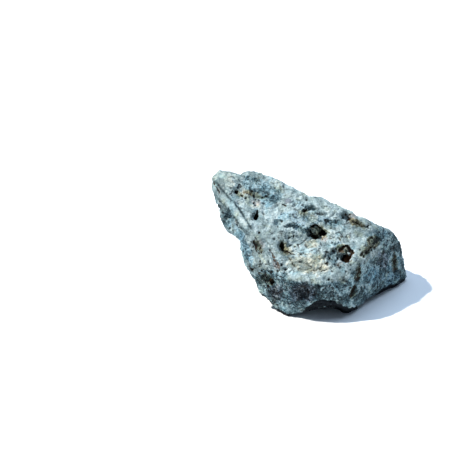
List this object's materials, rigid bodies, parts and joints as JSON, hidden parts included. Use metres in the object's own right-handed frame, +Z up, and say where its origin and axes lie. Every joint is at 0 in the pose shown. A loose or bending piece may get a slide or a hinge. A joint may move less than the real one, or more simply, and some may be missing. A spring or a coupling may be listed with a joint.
{
  "type": "pitted blue-grey landscape stone",
  "caption": "Rugged blue-grey stone, wedge-shaped with a high tip, pitted on its broad sloping side and arched underneath between small flat feet.",
  "frame": {"origin": "on the ground under the middle of the stone's length and depth", "axes": "+X along the stone's length, from the high tip to the low blunt end; +Z up; the pitted side faces -Y and up"},
  "size_m": [0.182, 0.125, 0.1213],
  "materials": {
    "stone": "rough, weathered, pitted"
  },
  "bodies": {
    "root": {"stone": "stone"}
  },
  "joints": []
}
